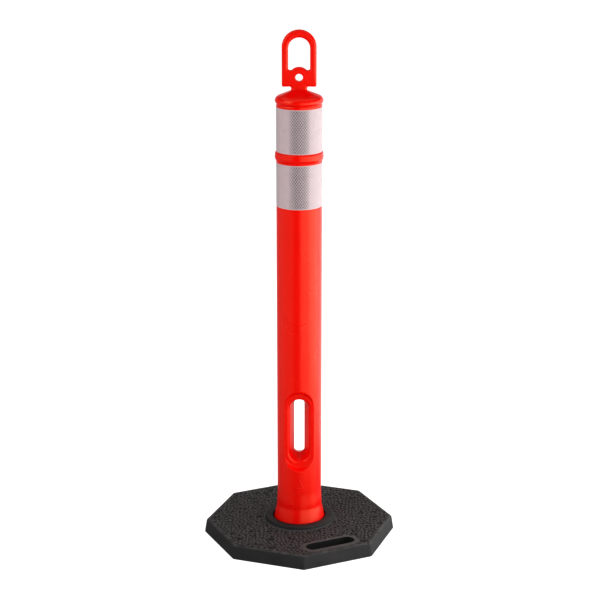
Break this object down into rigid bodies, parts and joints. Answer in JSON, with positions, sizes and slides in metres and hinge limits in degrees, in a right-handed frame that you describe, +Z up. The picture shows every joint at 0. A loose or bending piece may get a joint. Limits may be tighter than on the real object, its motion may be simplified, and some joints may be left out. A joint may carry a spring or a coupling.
{
  "type": "delineator post",
  "caption": "Free-standing traffic delineator: hollow orange tube with a loop handle, hand slot and reflective bands, held up by a drop-over octagonal rubber base.",
  "frame": {"origin": "on the ground, at the axis of the post", "axes": "+Z up along the post; the loop handle's tie hole and the hand slot run along Y, and the loop's wide face looks along -Y"},
  "size_m": [0.4582, 0.4582, 1.2089],
  "materials": {
    "orange_plastic": "satin",
    "reflective_sheeting": "satin",
    "black_rubber": "matte"
  },
  "bodies": {
    "post": {"post": "orange_plastic", "upper_band": "reflective_sheeting", "lower_band": "reflective_sheeting"},
    "base": {"base": "black_rubber"}
  },
  "joints": [
    {"name": "base_lift", "type": "slide", "parent": "post", "child": "base", "axis": [0, 0, 1], "range_m": [0, 1.25]}
  ]
}
